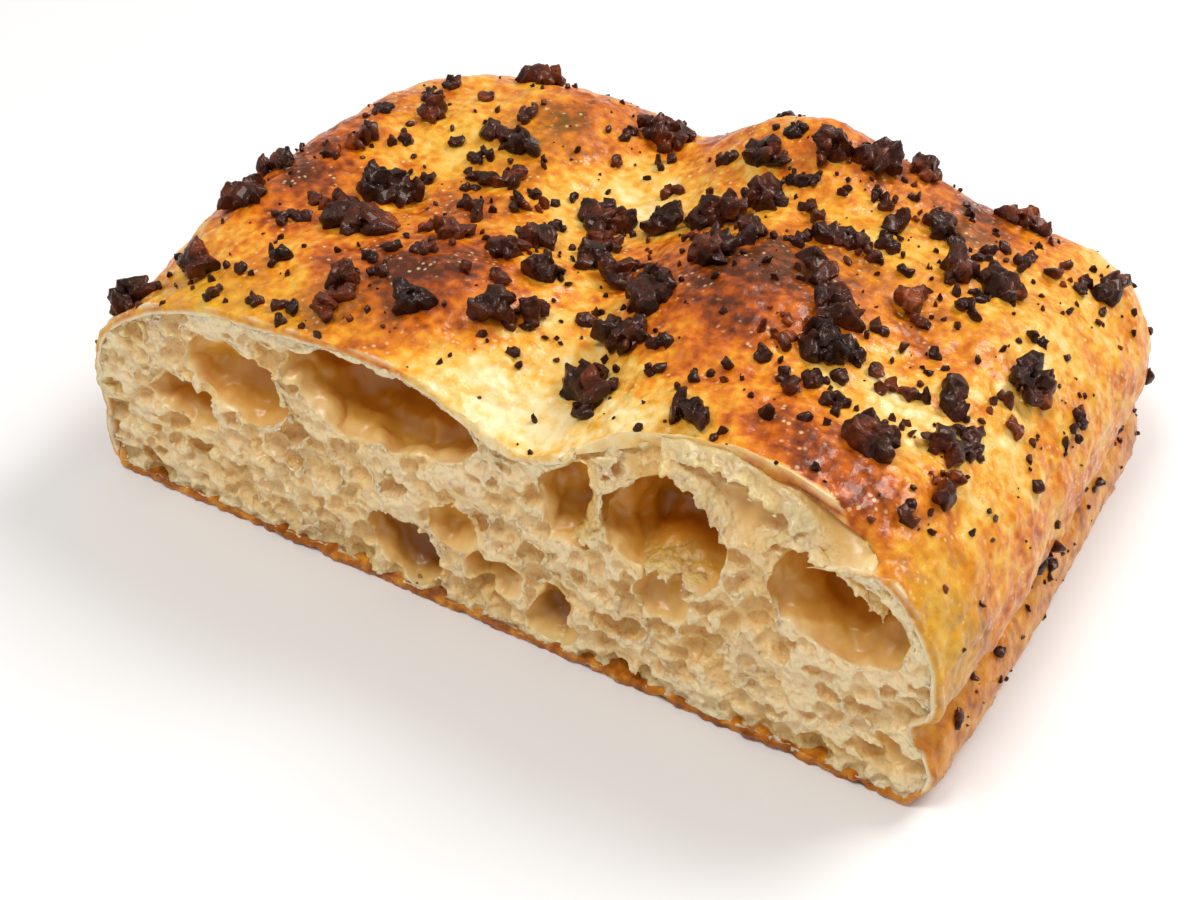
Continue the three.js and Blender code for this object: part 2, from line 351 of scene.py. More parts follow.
@dataclass(frozen=True)
class Relief:
    """One layer of relief, worked into the mesh itself."""

    grain: Grain
    scale: float
    height: float
    middle: float = 0.5
    group: str = ""

    def work(self, piece: bpy.types.Object) -> None:
        """Moves the piece's points along their normals by the layer's pattern.

        Args:
            piece: The piece that gets the relief.
        """
        texture = bpy.data.textures.new(self.grain.name.lower(), self.grain.value)
        texture.noise_scale = self.scale
        if self.grain is Grain.LUMPS:
            texture.noise_depth = 2
        if self.grain is Grain.RIDGES:
            texture.musgrave_type = "RIDGED_MULTIFRACTAL"
        applied(
            piece,
            "DISPLACE",
            texture=texture,
            texture_coords="LOCAL",
            strength=self.height,
            mid_level=self.middle,
            vertex_group=self.group,
        )
        bpy.data.textures.remove(texture)


# ---- Finishes -----------------------------------------------------------------------------------


def tint(code: str) -> tuple[float, float, float, float]:
    """Turns a colour written as six hex digits into the linear colour that shaders take."""
    parts = [int(code[i : i + 2], 16) / 255 for i in (0, 2, 4)]
    linear = [p / 12.92 if p <= 0.04045 else ((p + 0.055) / 1.055) ** 2.4 for p in parts]
    return (*linear, 1.0)


class Recipe:
    """A material's nodes, written as one expression after another."""

    def __init__(self, name: str) -> None:
        """Starts a material with an empty tree and its shader."""
        self.material = bpy.data.materials.new(name)
        self.material.use_nodes = True
        self.tree = self.material.node_tree
        self.shader = self.tree.nodes["Principled BSDF"]

    def put(self, kind: str, inputs: dict[object, object], **settings: object) -> bpy.types.Node:
        """Adds a node, sets it and feeds its inputs.

        Args:
            kind: The node's type, without its ShaderNode prefix.
            inputs: Input names or numbers, each with a value or another node's output.
            **settings: The node's own properties.

        Returns:
            The node.
        """
        node = self.tree.nodes.new("ShaderNode" + kind)
        for key, value in settings.items():
            setattr(node, key, value)
        for key, value in inputs.items():
            self.feed(node.inputs[key], value)
        return node

    def feed(self, socket: bpy.types.NodeSocket, value: object) -> None:
        """Sets an input to a value, or links it to an output."""
        if isinstance(value, bpy.types.NodeSocket):
            self.tree.links.new(value, socket)
        else:
            socket.default_value = value

    def place(self) -> bpy.types.NodeSocket:
        """Returns where a point of the piece is, in metres."""
        return self.put("TexCoord", {}).outputs["Object"]

    def stretched(self, scale: tuple[float, float, float], turn: float = 0.0) -> bpy.types.NodeSocket:
        """Returns the place scaled along each axis, after a turn about Z in degrees."""
        node = self.put("Mapping", {"Vector": self.place()})
        node.inputs["Rotation"].default_value = (0, 0, math.radians(turn))
        node.inputs["Scale"].default_value = scale
        return node.outputs["Vector"]

    def noise(self, size: float, detail: float = 3.0, vector: object = None) -> bpy.types.NodeSocket:
        """Returns cloudy noise whose lumps are about one size, in metres."""
        inputs = {"Vector": vector or self.place(), "Scale": 1 / size, "Detail": detail}
        return self.put("TexNoise", inputs).outputs["Fac"]

    def cells(self, size: float, feature: str = "F1", vector: object = None) -> bpy.types.NodeSocket:
        """Returns the distance pattern of cells of about one size, in metres."""
        inputs = {"Vector": vector or self.place(), "Scale": 1 / size}
        return self.put("TexVoronoi", inputs, feature=feature).outputs["Distance"]

    def sums(self, operation: str, a: object, b: object = 0.0, c: object = 0.0) -> bpy.types.NodeSocket:
        """Returns a sum or comparison of up to three numbers."""
        return self.put("Math", {0: a, 1: b, 2: c}, operation=operation).outputs[0]

    def spread(self, value: object, low: float, high: float, a: float = 0.0, b: float = 1.0) -> bpy.types.NodeSocket:
        """Returns a value mapped smoothly from low..high to a..b."""
        inputs = {"Value": value, "From Min": low, "From Max": high, "To Min": a, "To Max": b}
        return self.put("MapRange", inputs, interpolation_type="SMOOTHSTEP").outputs[0]

    def attribute(self, name: str) -> bpy.types.NodeSocket:
        """Returns a number that was painted on the piece's points."""
        return self.put("Attribute", {}, attribute_name=name).outputs["Fac"]

    def blend(self, share: object, a: object, b: object, how: str = "MIX") -> bpy.types.NodeSocket:
        """Returns colour a changed towards, or by, colour b."""
        node = self.put("Mix", {}, data_type="RGBA", blend_type=how)
        self.feed(node.inputs["Factor"], share)
        self.feed(node.inputs[6], a)
        self.feed(node.inputs[7], b)
        return node.outputs[2]

    def ramp(self, share: object, stops: list[tuple[float, str]]) -> bpy.types.NodeSocket:
        """Returns a colour picked along a row of stops, each a place and a hex colour."""
        node = self.put("ValToRGB", {"Fac": share})
        elements = node.color_ramp.elements
        while len(elements) < len(stops):
            elements.new(0.5)
        for element, (spot, code) in zip(elements, stops):
            element.position = spot
            element.color = tint(code)
        return node.outputs["Color"]

    def bump(self, height: object, depth: float, below: object = None, share: object = 1.0) -> bpy.types.NodeSocket:
        """Returns a normal roughened by a share of a height pattern, depth in metres, over an earlier one."""
        inputs = {"Height": height, "Strength": share, "Distance": depth}
        if below is not None:
            inputs["Normal"] = below
        return self.put("Bump", inputs).outputs["Normal"]

    def finish(self, **sockets: object) -> bpy.types.Material:
        """Feeds the shader's sockets, written with underscores for spaces, and returns the material."""
        for key, value in sockets.items():
            self.feed(self.shader.inputs[key.replace("_", " ")], value)
        return self.material


# ---- The slab -----------------------------------------------------------------------------------


@dataclass(frozen=True)
class Patch:
    """A soft-edged place on the crust, in shares of the half length and half depth."""

    across: float
    back: float
    wide: float
    deep: float
    amount: float
    turn: float = 0.0

    def over(self, across: np.ndarray, back: np.ndarray) -> np.ndarray:
        """Returns how much of the patch each point gets."""
        angle = math.radians(self.turn)
        dx, dy = (across - self.across), (back - self.back) * 0.7
        u = dx * math.cos(angle) + dy * math.sin(angle)
        v = dy * math.cos(angle) - dx * math.sin(angle)
        return self.amount * np.exp(-0.5 * ((u / self.wide) ** 2 + (v / (0.7 * self.deep)) ** 2))


BROWNED = [
    Patch(-0.24, -0.68, 0.15, 0.2, 0.5),
    Patch(-0.7, -0.36, 0.09, 0.16, 0.34),
    Patch(-0.33, 0.38, 0.09, 0.2, 0.36),
    Patch(-0.8, 0.0, 0.07, 0.25, 0.3),
    Patch(-0.36, -0.2, 0.05, 0.16, 0.26, 30),
    Patch(0.34, -0.33, 0.09, 0.17, 0.5),
    Patch(0.3, -0.1, 0.06, 0.14, 0.25),
    Patch(0.5, -0.06, 0.16, 0.12, 0.24),
    Patch(0.1, -0.16, 0.07, 0.16, 0.24, 20),
    Patch(0.66, -0.82, 0.16, 0.1, 0.36),
    Patch(0.5, -0.62, 0.1, 0.08, 0.2),
    Patch(0.57, 0.62, 0.1, 0.18, 0.4),
    Patch(-0.1, 0.62, 0.1, 0.2, 0.3),
    Patch(0.3, 0.62, 0.1, 0.14, 0.25),
    Patch(-0.12, 0.26, 0.1, 0.26, -0.34),
    Patch(0.02, -0.9, 0.13, 0.13, -0.42),
    Patch(0.02, -0.58, 0.08, 0.14, -0.24),
    Patch(0.66, -0.48, 0.14, 0.1, -0.3),
    Patch(0.3, -0.86, 0.14, 0.12, -0.3),
    Patch(0.9, 0.1, 0.09, 0.7, -0.16),
    Patch(0.5, 0.3, 0.12, 0.1, -0.16),
    Patch(-0.55, 0.1, 0.1, 0.12, -0.1),
]
OILED = [
    Patch(-0.6, -0.93, 0.2, 0.1, 0.7),
    Patch(0.93, -0.9, 0.06, 0.12, 1.0),
    Patch(-0.95, -0.97, 0.06, 0.1, 0.8),
    Patch(-0.45, 0.2, 0.14, 0.2, 0.4),
    Patch(0.6, 0.2, 0.2, 0.2, 0.35),
]


@dataclass(frozen=True)
class Film:
    """A thin ragged film of dough: its rooted edge and its free one, as points in millimetres.

    Each point is its X, how far it lies behind the cut, and its Z.
    """

    rooted: tuple[tuple[float, float, float], ...]
    free: tuple[tuple[float, float, float], ...]
    belly: float = 0.4
    thickness: float = 0.28

    def build(self, name: str) -> bpy.types.Object:
        """Makes the film as a closed sheet."""
        bpy.ops.mesh.primitive_grid_add(x_subdivisions=46, y_subdivisions=9, size=2)
        film = named(name)
        flat = (points_of(film) + 1) / 2
        edges = []
        for line in (self.rooted, self.free):
            line = np.array(line)
            stops = np.linspace(0, 1, len(line))
            edges.append(np.stack([np.interp(flat[:, 0], stops, line[:, k]) for k in range(3)], 1))
        share = flat[:, 1]
        ragged = [noise.noise(Vector((0.9 * a[0], 0, a[2]))) + 0.4 * noise.noise(Vector((2.1 * a[0], 3, a[2]))) for a in edges[1]]
        share = share * (1 + 0.3 * np.array(ragged) * share)
        places = edges[0] + (edges[1] - edges[0]) * share[:, None]
        places[:, 2] += self.belly * np.sin(math.pi * flat[:, 1])
        bend = np.array([noise.noise_vector(Vector(a) / 3) for a in places])
        places = (places + 0.5 * bend) * MM
        places[:, 1] += CUT
        move_points(film, places)
        return applied(film, "SOLIDIFY", thickness=self.thickness * MM, offset=0.0)


FILMS = [
    Film(
        ((18.6, 3.4, 36.0), (18.9, 3.6, 30.0), (18.0, 3.4, 25.0), (16.4, 2.8, 21.6)),
        ((22.2, 0.4, 35.6), (22.4, 0.2, 30.4), (21.6, 0.2, 25.0), (19.2, 0.4, 22.2)),
        0.0,
        0.6,
    ),
    Film(
        ((22.6, 11.5, 22.2), (30.2, 13.0, 24.2), (40.2, 11.5, 23.2)),
        ((24.8, 1.4, 20.4), (30.5, 0.6, 22.0), (38.2, 1.2, 21.2)),
        0.5,
        0.6,
    ),
    Film(((2.2, 3.0, 14.5), (7.6, 3.0, 14.7)), ((3.4, 0.1, 13.1), (6.9, 0.1, 13.4)), 0.2, 0.8),
    Film(
        ((28.0, 6.5, 42.3), (38.0, 6.8, 43.0), (48.0, 6.5, 40.4), (58.0, 5.5, 35.8)),
        ((28.5, 2.8, 39.4), (38.2, 2.2, 41.0), (47.0, 2.0, 37.6), (56.0, 1.8, 33.6)),
        0.4,
        0.6,
    ),
    Film(
        ((29.0, 6.5, 40.5), (36.0, 6.8, 38.5), (41.0, 5.5, 34.0), (46.0, 4.5, 31.0)),
        ((29.5, 1.8, 38.6), (35.4, 0.8, 36.4), (40.4, 0.5, 31.8), (45.0, 0.4, 29.6)),
        0.4,
        0.8,
    ),
    Film(
        ((42.0, 6.0, 35.0), (49.0, 7.0, 37.0), (56.0, 6.5, 35.5), (62.0, 5.0, 30.0)),
        ((43.0, 0.8, 32.6), (49.0, 0.4, 35.2), (55.0, 0.4, 33.8), (61.0, 0.6, 29.0)),
        0.4,
        0.6,
    ),
    Film(
        ((-20.6, 8.5, 17.0), (-12.0, 9.0, 16.8), (-4.6, 7.0, 12.0)),
        ((-18.8, 0.8, 15.6), (-12.2, 0.6, 14.8), (-6.6, 0.8, 11.4)),
        0.3,
        0.6,
    ),
]


@dataclass
class Slab:
    """The baked dough: its lobed crust and, behind the cut, the open crumb."""

    base_voxel: float = 0.8 * MM  # facets while the slab's shape is evened out
    crust_voxel: float = 0.45 * MM  # facets that the crust's relief is worked into
    crumb_voxel: float = 0.34 * MM
    crust_thickness: float = 1.15 * MM
    bedding: float = 0.3 * MM  # how far the crumb reaches into the crust
    plug_margin: float = 1.1 * MM  # crust that the plug leaves above and below itself
    plug_end: float = 5.5 * MM  # how far the plug stays from the slab's ends
    crumb_depth: float = 18 * MM  # how far behind the cut the open crumb is worked
    tuck_in: float = 0.9 * MM
    groove_height: float = 13.5 * MM
    groove_depth: float = 2.2 * MM
    bubble_bend: float = 1.7 * MM  # how far the walls of the big bubbles wander
    overrun: float = 4 * MM  # how far shapes run out past the cut before they are trimmed
    small_pores: int = 1500
    middle_pores: int = 230
    tear_pores: int = 110
    crust_triangles: int = 190_000
    crumb_triangles: int = 195_000
    tear_middle: tuple[float, float, float] = (0.0365, -0.0505, 0.0431)
    tear_half: tuple[float, float, float] = (0.026, 0.0045, 0.010)
    seed: int = 7

    def drop_to(self, solid: bpy.types.Object, x: float, y: float) -> float:
        """Returns the height of a solid's top at a point of the plan."""
        tops = [0.0]
        for nudge in (0, 0.17 * MM, -0.21 * MM):
            hit, place, _, _ = solid.ray_cast(Vector((x + nudge, y, 1.0)), Vector((0, 0, -1)))
            if hit:
                tops.append(place.z)
        return max(tops)

    def plug(self, shell: bpy.types.Object) -> bpy.types.Object:
        """Makes the solid that fills the big bubbles from behind the cut to under the crust.

        Args:
            shell: The slab with its bubbles open.

        Returns:
            The plug, which runs out past the cut.
        """
        bpy.ops.mesh.primitive_cube_add(size=2)
        plug = named("plug")
        bpy.ops.object.mode_set(mode="EDIT")
        bpy.ops.mesh.subdivide(number_cuts=58)
        bpy.ops.object.mode_set(mode="OBJECT")
        places = points_of(plug)
        left, right = SLAB_LOW.x + self.plug_end, SLAB_HIGH.x - 0.7 * self.plug_end
        x = left + (right - left) * (places[:, 0] + 1) / 2
        y = CUT + self.crumb_depth * (places[:, 1] + 1) / 2
        tops = np.array([self.drop_to(shell, a, max(b, CUT + 0.3 * MM)) for a, b in zip(x, y)]) - self.plug_margin
        z = self.plug_margin + (tops - self.plug_margin) * (places[:, 2] + 1) / 2
        y = np.where(places[:, 1] < -0.999, CUT - self.overrun, y)
        move_points(plug, np.stack([x, y, z], 1))
        return plug

    def run_out(self, piece: bpy.types.Object) -> None:
        """Pulls the cut face forwards, so that later smoothing doesn't round its rim."""
        places = points_of(piece)
        places[:, 1] = np.where(places[:, 1] < CUT + 1e-5, CUT - self.overrun, places[:, 1])
        move_points(piece, places)

    def trim(self, piece: bpy.types.Object, back: float = 0.0) -> None:
        """Cuts a solid off flat at the cut face, or a little behind it."""
        keep = block("keep", Vector((-0.2, CUT + back, -0.1)), Vector((0.2, 0.2, 0.2)))
        cut(piece, keep, "INTERSECT")
        discard(keep)

    def even_shapes(self) -> tuple[bpy.types.Object, bpy.types.Object]:
        """Makes the slab's even outer shape, once whole and once with its big bubbles open."""
        opened = merged_copy(SLAB_NODE, "opened")
        plug = self.plug(opened)
        whole = copied(opened, "whole")
        for piece in (whole, opened):
            self.run_out(piece)
        cut(whole, plug, "UNION")
        discard(plug)
        for piece in (whole, opened):
            smoothed(remeshed(piece, self.base_voxel), 14)
            self.pinch(piece)
        self.warp(opened, whole)
        return whole, opened

    def pinch(self, piece: bpy.types.Object) -> None:
        """Draws the right side in at its groove and lets the fried rim below it stand out."""
        places = points_of(piece)
        side = step_between(58 * MM, 68 * MM, places[:, 0])
        groove = np.exp(-(((places[:, 2] - self.groove_height) / (2.4 * MM)) ** 2))
        rim = np.exp(-(((places[:, 2] - 0.4 * self.groove_height) / (3.2 * MM)) ** 2))
        places[:, 0] += side * (0.8 * MM * rim - self.groove_depth * groove)
        move_points(piece, places)

    def warp(self, opened: bpy.types.Object, whole: bpy.types.Object) -> None:
        """Bends the walls of the big bubbles, and leaves the outside as it is."""
        places = points_of(opened)
        for i, place in enumerate(places):
            here = Vector(place)
            gap = (whole.closest_point_on_mesh(here)[1] - here).length
            share = min(1.0, max(0.0, (gap - 0.6 * MM) / (2.5 * MM)))
            if share:
                bend = noise.noise_vector(here / (6 * MM)) + 0.5 * noise.noise_vector(here / (2.6 * MM))
                places[i] = here + bend * share * self.bubble_bend
        move_points(opened, places)

    def pocket(self, whole: bpy.types.Object, t: float) -> bpy.types.Object:
        """Makes the whole slab less a thickness of crust, as far back as the open crumb goes."""
        low = Vector((-0.2, CUT - self.overrun, t))
        pocket = block("pocket", low, Vector((0.2, CUT + self.crumb_depth, 0.2)))
        run = -2 * MM
        for shift in ((t, run, 0), (-t, run, 0), (0, run, -t)):
            shell = copied(whole, "shell", Vector(shift))
            cut(pocket, shell, "INTERSECT")
            discard(shell)
        return pocket

    def rip(self, grow: float) -> bpy.types.Object:
        """Makes the rounded space where the crust tore back from the cut, grown all round."""
        bpy.ops.mesh.primitive_ico_sphere_add(subdivisions=5, radius=1)
        rip = named("rip")
        move_points(rip, points_of(rip) * (np.array(self.tear_half) + grow) + np.array(self.tear_middle))
        return rip

    def torn(self, places: np.ndarray) -> np.ndarray:
        """Returns how far each point lies in the place where the crust tore back from the cut."""
        middle = np.array(self.tear_middle)
        reach = np.linalg.norm((places - middle) / np.array(self.tear_half), axis=1)
        return 1 - step_between(1.06, 1.2, reach)

    def crust(self, whole: bpy.types.Object, pocket: bpy.types.Object) -> bpy.types.Object:
        """Makes the crust, and the dough behind the open crumb, with the crust's relief."""
        crust = copied(whole, "crust")
        self.trim(crust)
        remeshed(crust, self.crust_voxel)
        places = points_of(crust)
        height = places[:, 2]
        face = 1 - step_between(0.1 * MM, 0.8 * MM, places[:, 1] - CUT)
        torn = self.torn(places)
        weigh(crust, "skin", step_between(4 * MM, 12 * MM, height) * (1 - face) * (1 - torn))
        foot = 1 - step_between(1.5 * MM, 3.5 * MM, height)
        weigh(crust, "fried", (1 - step_between(3 * MM, 9 * MM, height)) * np.maximum(1 - face, foot))
        weigh(crust, "face", face * (1 - foot))
        for relief in (
            Relief(Grain.LUMPS, 9 * MM, 1.5 * MM, 0.3, "skin"),
            Relief(Grain.FOLDS, 3.4 * MM, 0.65 * MM, 0.35, "skin"),
            Relief(Grain.CELLS, 1.5 * MM, 0.34 * MM, 0.5, "skin"),
            Relief(Grain.LUMPS, 0.8 * MM, 0.14 * MM, 0.5, "skin"),
            Relief(Grain.LUMPS, 2.4 * MM, 1.3 * MM, 0.5, "fried"),
            Relief(Grain.CELLS, 1.5 * MM, 0.7 * MM, 0.5, "fried"),
            Relief(Grain.LUMPS, 3 * MM, 0.7 * MM, 0.9, "face"),
            Relief(Grain.CELLS, 1.5 * MM, 0.4 * MM, 0.9, "face"),
        ):
            relief.work(crust)
        places = points_of(crust)
        places[:, 2] = np.maximum(places[:, 2], 0)
        move_points(crust, places)
        painted(crust, "outer", np.ones(len(places)))
        cut(crust, pocket, "DIFFERENCE")
        keep_body(crust)
        places = points_of(crust)
        outer = numbers_of(crust, "outer") > 0.5
        tuck = ~outer * step_between(2 * MM, 6 * MM, places[:, 1] - CUT) * (places[:, 2] > 3 * MM)
        places += normals_of(crust) * (self.tuck_in * tuck)[:, None]
        move_points(crust, places)
        top = step_between(2 * MM, 8 * MM, places[:, 2])
        near = 1 - step_between(0.0, 0.05, places[:, 1]) * 0.6
        front = 1 - step_between(3 * MM, 8 * MM, places[:, 1] - CUT)
        weigh(crust, "detail", np.where(outer, np.maximum(0.15 + 0.85 * top * near, front), 0))
        thinned(crust, self.crust_triangles, "detail")
        places = points_of(crust)
        across, back = places[:, 0] / 0.073, places[:, 1] / 0.0505
        torn = self.torn(places)
        brown = 0.47 + sum(patch.over(across, back) for patch in BROWNED)
        brown += 0.13 * step_between(0.86, 0.96, across)
        painted(crust, "browning", np.clip(brown, 0, 1) * (1 - torn))
        painted(crust, "oil", np.clip(sum(patch.over(across, back) for patch in OILED), 0, 1))
        front = np.flatnonzero(places[:, 1] < CUT + 2.5 * MM)
        rind = np.zeros(len(places))
        for i in front:
            rind[i] = (whole.closest_point_on_mesh(Vector(places[i]))[1] - Vector(places[i])).length / MM
        normals = normals_of(crust)
        flat = step_between(0.3, 0.8, -normals[:, 1]) * (places[:, 1] < CUT + 2.5 * MM)
        painted(crust, "pale", np.maximum(flat * step_between(0.15, 0.8, rind), torn))
        return crust

    def pores(self) -> bpy.types.Object:
        """Makes the small and middling pores that the cut opens, as one solid."""
        rng = random.Random(self.seed)
        shapes = []
        for i in range(4):
            bpy.ops.mesh.primitive_ico_sphere_add(subdivisions=2, radius=1)
            shape = named("pore")
            applied(shape, "CAST", factor=0.15, cast_type="CUBOID")
            smoothed(shape, 1, 0.3)
            places = points_of(shape)
            waves = np.array([1 + 0.16 * math.sin(2.3 * p[0] + i * 1.7 + 1.9 * p[2] * (1 + i % 2)) for p in places])
            move_points(shape, places * waves[:, None])
            shapes.append(shape)
        spots = []
        for i in range(self.small_pores + self.middle_pores):
            middle = i >= self.small_pores
            x = rng.uniform(SLAB_LOW.x + 1 * MM, SLAB_HIGH.x - 1 * MM)
            z = rng.uniform(1.5 * MM, 36 * MM) if middle else 1.5 * MM + 34 * MM * rng.random() ** 1.4
            size = rng.uniform(1.1, 2.1) * MM if middle else rng.uniform(0.45, 1.15) * MM
            wide = size * rng.uniform(0.9, 1.5)
            tall = size * rng.uniform(0.6, 1.0)
            deep = size * rng.uniform(0.8, 1.6)
            place = Vector((x, CUT + deep * rng.uniform(-0.35, 0.45), z))
            turn = Euler((rng.uniform(-0.3, 0.3), rng.uniform(-0.9, 0.5), rng.uniform(-0.4, 0.4)))
            spots.append(Matrix.LocRotScale(place, turn, Vector((wide, deep, tall))))
        for _ in range(self.tear_pores):
            lean = rng.uniform(-0.2, 1.0)
            turn = rng.uniform(-0.9, 0.9)
            out = Vector((math.sin(turn), math.cos(turn) * math.cos(lean), -math.cos(turn) * math.sin(lean)))
            place = Vector(self.tear_middle) + out * Vector(self.tear_half) * 1.05
            scale = Vector((rng.uniform(0.7, 3.2), rng.uniform(0.5, 1.0), rng.uniform(0.4, 1.1))) * MM
            spots.append(Matrix.LocRotScale(place, Euler((0, rng.uniform(-0.1, 0.9), 0)), scale))
        pores = strewn("pores", shapes, spots)
        discard(*shapes)
        return remeshed(pores, 0.38 * MM)

    def crumb(
        self, opened: bpy.types.Object, whole: bpy.types.Object, pocket: bpy.types.Object
    ) -> bpy.types.Object:
        """Makes the open crumb behind the cut, with its big bubbles, its pores and its films."""
        crumb = pocket
        crumb.name = crumb.data.name = "crumb"
        cut(crumb, opened, "INTERSECT")
        pores = self.pores()
        cut(crumb, pores, "DIFFERENCE")
        discard(pores)
        for film in FILMS:
            sheet = film.build("film")
            cut(crumb, sheet, "UNION")
            discard(sheet)
        self.trim(crumb, 0.12 * MM)
        remeshed(crumb, self.crumb_voxel)
        keep_body(crumb)
        places = points_of(crumb)
        normals = normals_of(crumb)
        depth = places[:, 1] - CUT
        bedded = self.crust_thickness - self.bedding
        gaps = np.array([(whole.closest_point_on_mesh(Vector(a))[1] - Vector(a)).length for a in places])
        torn = self.torn(places)
        under = (1 - step_between(bedded + 0.1 * MM, bedded + 0.6 * MM, gaps)) * (depth > 0.6 * MM) * (1 - torn)
        hidden = np.maximum(under, step_between(-0.2, 0.2, normals[:, 1]) * (depth > 13 * MM))
        painted(crumb, "hidden", hidden)
        waxy = np.zeros(len(places))
        for i in np.flatnonzero((depth > 0.5 * MM) & (depth < 15 * MM)):
            gap = (opened.closest_point_on_mesh(Vector(places[i]))[1] - Vector(places[i])).length
            waxy[i] = 1 - min(1.0, gap / (0.5 * MM))
        waxy *= 1 - torn
        open_face = (1 - step_between(1.0 * MM, 7 * MM, depth)) * (1 - hidden) * (1 - 0.9 * waxy)
        weigh(crumb, "open", open_face)
        weigh(crumb, "walls", (1 - open_face) * (1 - hidden) * (depth < 16 * MM))
        painted(crumb, "waxy", waxy)
        # The depth behind the cut, which the crumb's finish turns into painted shade and a painted glow of light
        # through the crust.
        painted(crumb, "deep", (depth / MM) * (1 - torn) + torn * 0.8)
        for relief in (
            Relief(Grain.LUMPS, 7 * MM, 2.0 * MM, 0.7, "open"),
            Relief(Grain.CELLS, 1.7 * MM, 0.6 * MM, 0.6, "open"),
            Relief(Grain.FOLDS, 1.5 * MM, 0.45 * MM, 0.5, "open"),
            Relief(Grain.CELLS, 0.8 * MM, 0.28 * MM, 0.5, "open"),
            Relief(Grain.LUMPS, 4.5 * MM, 1.5 * MM, 0.5, "walls"),
            Relief(Grain.FOLDS, 5 * MM, 0.5 * MM, 0.5, "walls"),
        ):
            relief.work(crumb)
        self.trim(crumb, 0.05 * MM)
        places = points_of(crumb)
        depth = places[:, 1] - CUT
        seen = 1 - numbers_of(crumb, "hidden")
        tuck = (1 - seen) * step_between(2 * MM, 6 * MM, depth) * (places[:, 2] > 3 * MM)
        places -= normals_of(crumb) * (self.tuck_in * tuck)[:, None]
        move_points(crumb, places)
        weigh(crumb, "detail", seen * (1 - 0.3 * step_between(4 * MM, 14 * MM, depth)))
        thinned(crumb, self.crumb_triangles, "detail")
        return crumb

    def crust_finish(self) -> bpy.types.Material:
        """Returns the baked crust: pale in its valleys, brown on its peaks, and oiled, with pale dots that are
        partly blisters and partly painted glints.
        """
        m = Recipe("baked crust")
        big = m.noise(6 * MM, 4)
        fine = m.noise(1.6 * MM, 5)
        blisters = m.cells(1.5 * MM, "SMOOTH_F1")
        folds = m.noise(2.2 * MM, 4, m.stretched((1, 0.35, 1), 25))
        share = m.attribute("browning")
        share = m.sums("ADD", share, m.spread(big, 0.25, 0.75, -0.16, 0.16))
        share = m.sums("ADD", share, m.spread(fine, 0.25, 0.75, -0.12, 0.12))
        share = m.sums("ADD", share, m.spread(blisters, 0.1, 0.8, 0.07, -0.07))
        colour = m.ramp(
            share,
            [
                (0.0, "F5DCA4"),
                (0.2, "F0C56C"),
                (0.38, "E8A632"),
                (0.52, "DE8216"),
                (0.68, "C05C0A"),
                (0.84, "8C3C06"),
                (1.0, "542204"),
            ],
        )
        # Pale dots: partly real pale blisters, partly painted glints of light on the oil.
        blister_and_glint_dots = m.sums("MULTIPLY", m.spread(m.cells(1.3 * MM), 0.12, 0.3, 1, 0), m.spread(big, 0.45, 0.6))
        colour = m.blend(m.sums("MULTIPLY", blister_and_glint_dots, 0.55), colour, tint("F8DDA0"))
        oil = m.attribute("oil")
        colour = m.blend(m.sums("MULTIPLY", oil, 0.55), colour, tint("D4B22C"))
        low = m.put("SeparateXYZ", {0: m.place()}).outputs["Z"]
        base = m.spread(m.sums("ADD", low, m.sums("MULTIPLY", fine, -0.004)), -0.001, 0.003, 1, 0)
        rim = m.ramp(m.noise(2.5 * MM, 5), [(0.3, "6E3606"), (0.5, "AC6010"), (0.7, "DE9830")])
        colour = m.blend(base, colour, rim)
        ends = m.spread(m.sums("ABSOLUTE", m.put("SeparateXYZ", {0: m.place()}).outputs["X"]), 0.061, 0.068)
        reach = m.sums("ADD", low, m.spread(m.noise(7 * MM, 4), 0.25, 0.75, -0.006, 0.006))
        fried = m.ramp(m.noise(3 * MM, 5), [(0.3, "8E4608"), (0.5, "CC7E1C"), (0.72, "E8AA48")])
        colour = m.blend(m.sums("MULTIPLY", ends, m.spread(reach, 0.009, 0.017, 0.95, 0)), colour, fried)
        face = m.sums("MULTIPLY", m.attribute("pale"), m.spread(low, 0.0018, 0.0035))
        colour = m.blend(face, colour, tint("F3DEB4"))
        normal = m.bump(blisters, 0.2 * MM)
        normal = m.bump(fine, 0.4 * MM, normal)
        normal = m.bump(folds, 0.35 * MM, normal)
        return m.finish(
            Base_Color=colour,
            Roughness=m.spread(fine, 0.3, 0.7, 0.25, 0.42),
            Normal=normal,
            Specular_IOR_Level=0.22,
            Coat_Weight=0.2,
            Coat_Roughness=0.06,
            Subsurface_Weight=0.1,
            Subsurface_Radius=(0.003, 0.0015, 0.0007),
            Subsurface_Scale=1.0,
        )

